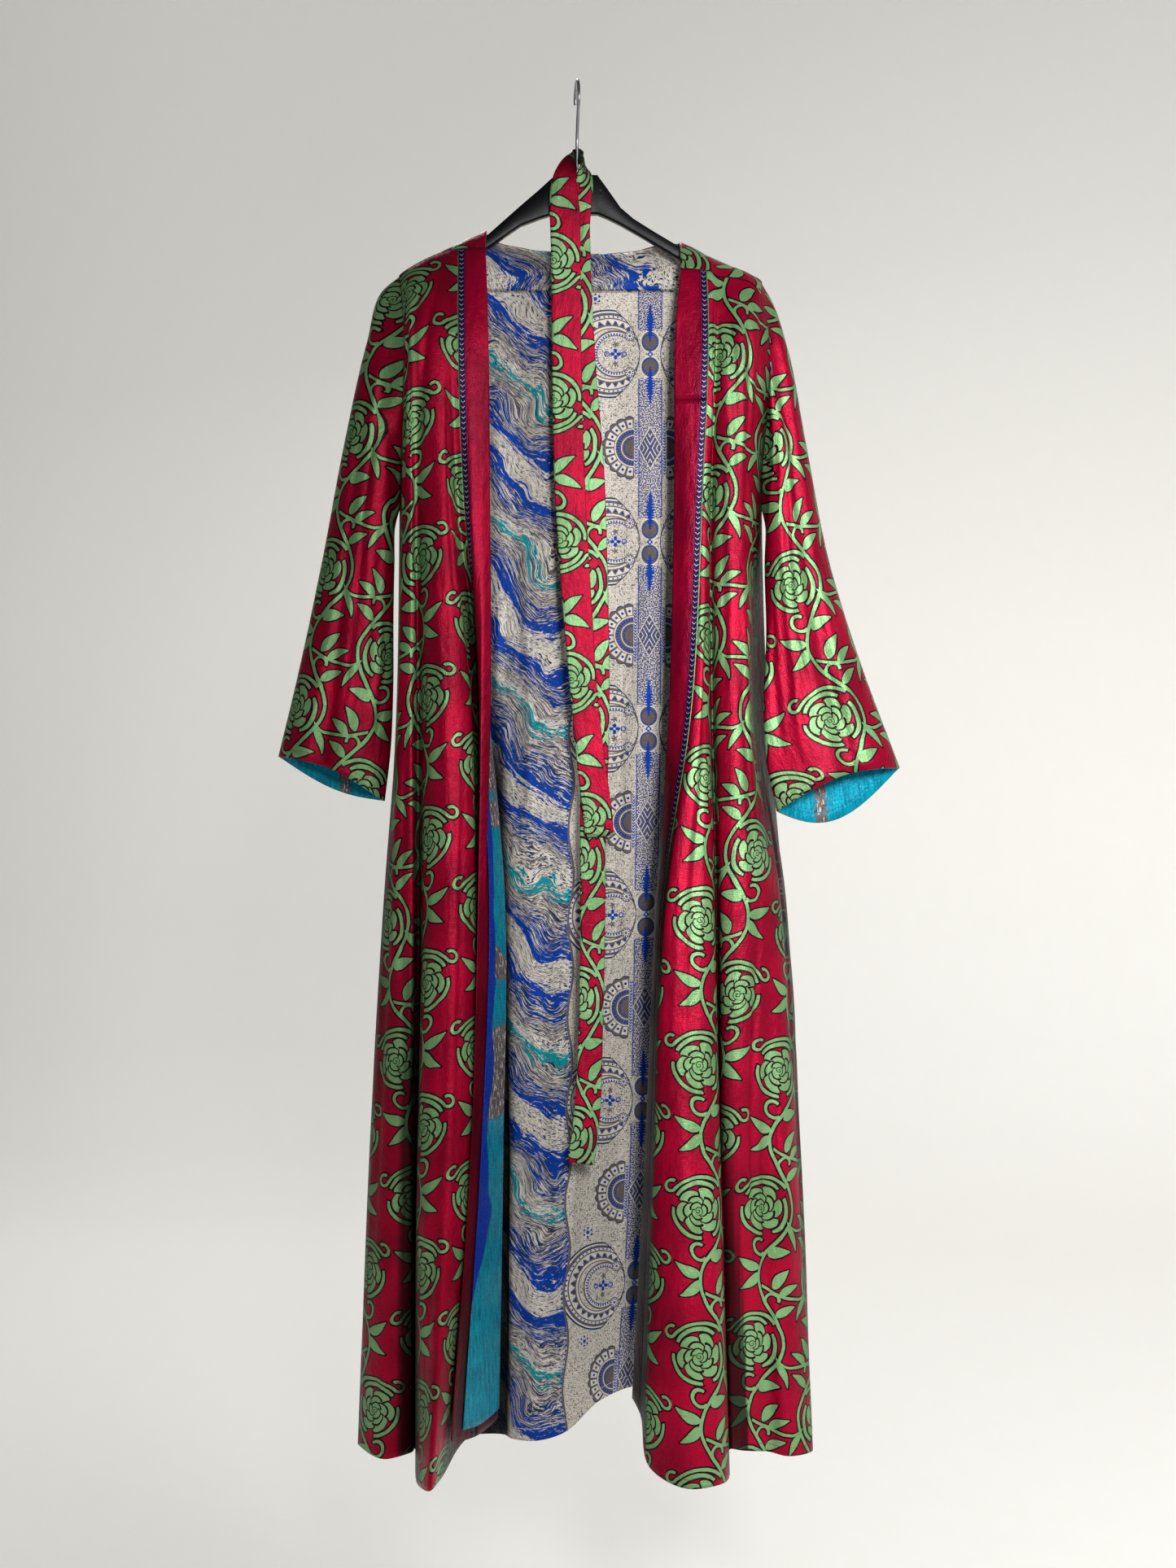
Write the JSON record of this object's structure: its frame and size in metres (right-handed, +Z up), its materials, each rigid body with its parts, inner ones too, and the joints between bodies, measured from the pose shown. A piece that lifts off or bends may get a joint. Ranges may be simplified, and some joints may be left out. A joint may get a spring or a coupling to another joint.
{
  "type": "kimono robe on a hanger",
  "caption": "Long open-front kimono robe with wide sleeves, silk lining and a loose belt, hanging in folds from a plastic hanger with a wire hook.",
  "frame": {"origin": "inner top of the hanger's hook, where it rests on a rail", "axes": "+Z up; the open front faces -Y; +X to the right seen from the front"},
  "size_m": [0.672, 0.213, 1.4954],
  "materials": {
    "outer_silk": "satin",
    "band_silk": "satin",
    "lining_print": "satin",
    "lining_teal": "satin",
    "hanger_plastic": "gloss",
    "hook_steel": "satin"
  },
  "bodies": {
    "root": {"hanger_body": "hanger_plastic", "hanger_hook": "hook_steel", "belt": "outer_silk", "back_panel": "outer_silk", "front_left": "outer_silk", "front_right": "outer_silk", "yoke": "outer_silk", "sleeve_left": "outer_silk", "sleeve_right": "outer_silk", "band_left": "band_silk", "band_right_top": "band_silk", "band_right": "band_silk", "lining_back": "lining_print", "lining_yoke": "lining_print", "lining_front_left": "lining_teal", "lining_front_right": "lining_teal", "lining_sleeve_left": "lining_teal", "lining_sleeve_right": "lining_teal"}
  },
  "joints": []
}
